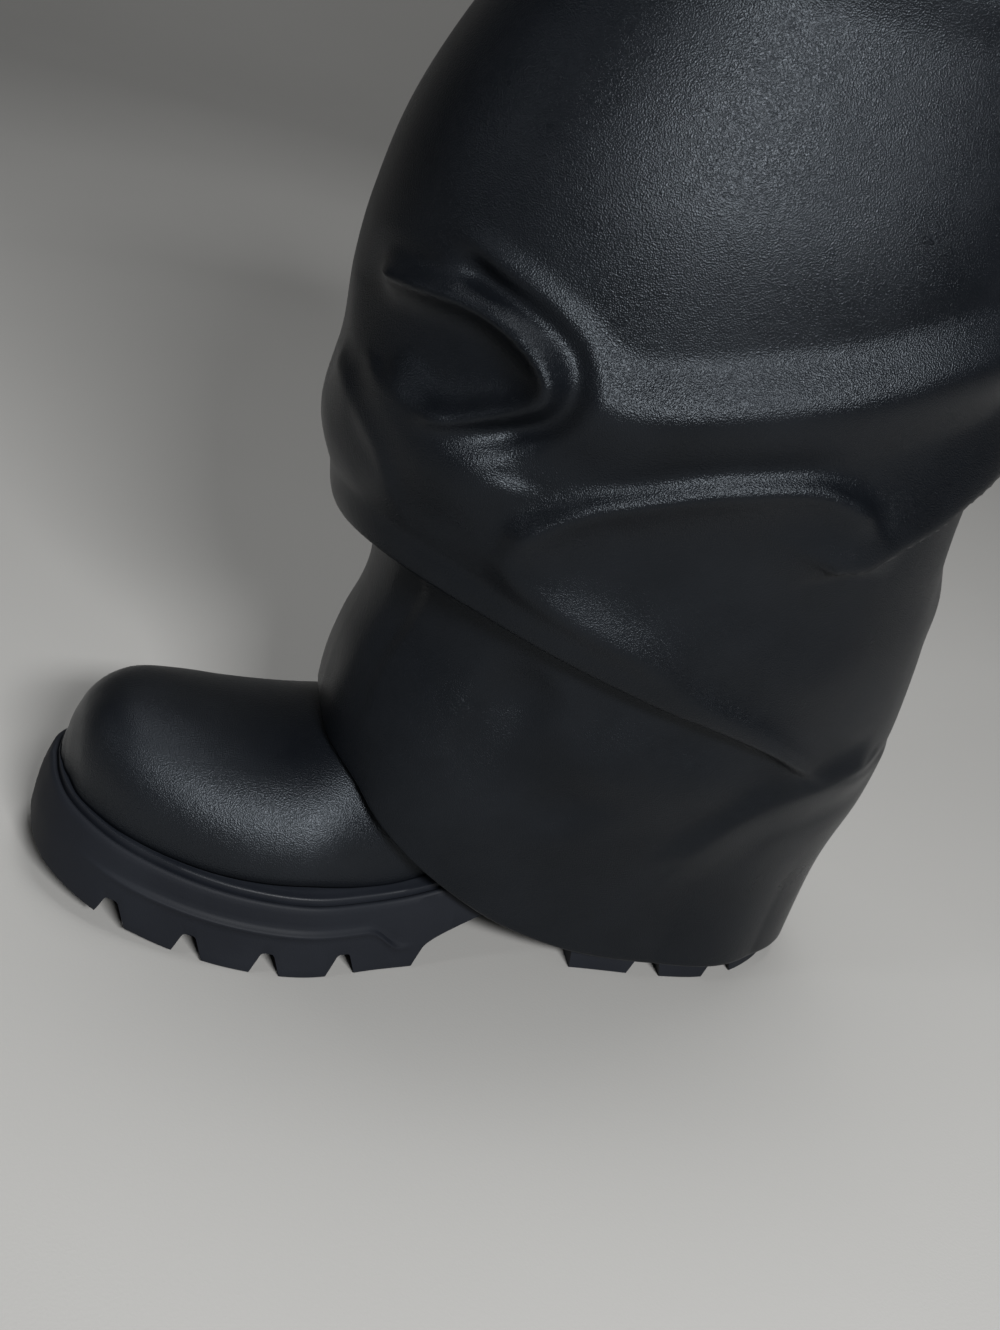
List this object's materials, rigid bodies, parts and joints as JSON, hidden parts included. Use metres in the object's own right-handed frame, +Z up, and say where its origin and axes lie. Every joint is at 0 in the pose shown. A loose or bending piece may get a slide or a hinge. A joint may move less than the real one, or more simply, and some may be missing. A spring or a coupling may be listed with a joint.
{
  "type": "platform boot",
  "caption": "Left platform boot with a lugged sole, closed foot, inner leg and a wide slouched leather sleeve that falls over instep and heel.",
  "frame": {"origin": "on the floor, under the middle of the rectangle that the boot covers", "axes": "+X towards the heel, -X towards the toe, -Y towards the outer side of the left foot, +Z up"},
  "size_m": [0.2944, 0.1512, 0.34],
  "materials": {
    "sole_rubber": "matte moulded rubber",
    "welt_rubber": "matte moulded rubber",
    "insole_board": "felted board",
    "foot_leather": "satin fine grain",
    "sleeve_leather": "satin fine grain"
  },
  "bodies": {
    "root": {"outsole": "sole_rubber", "welt": "welt_rubber", "insole": "insole_board", "upper": "foot_leather", "sleeve": "sleeve_leather"}
  },
  "joints": []
}
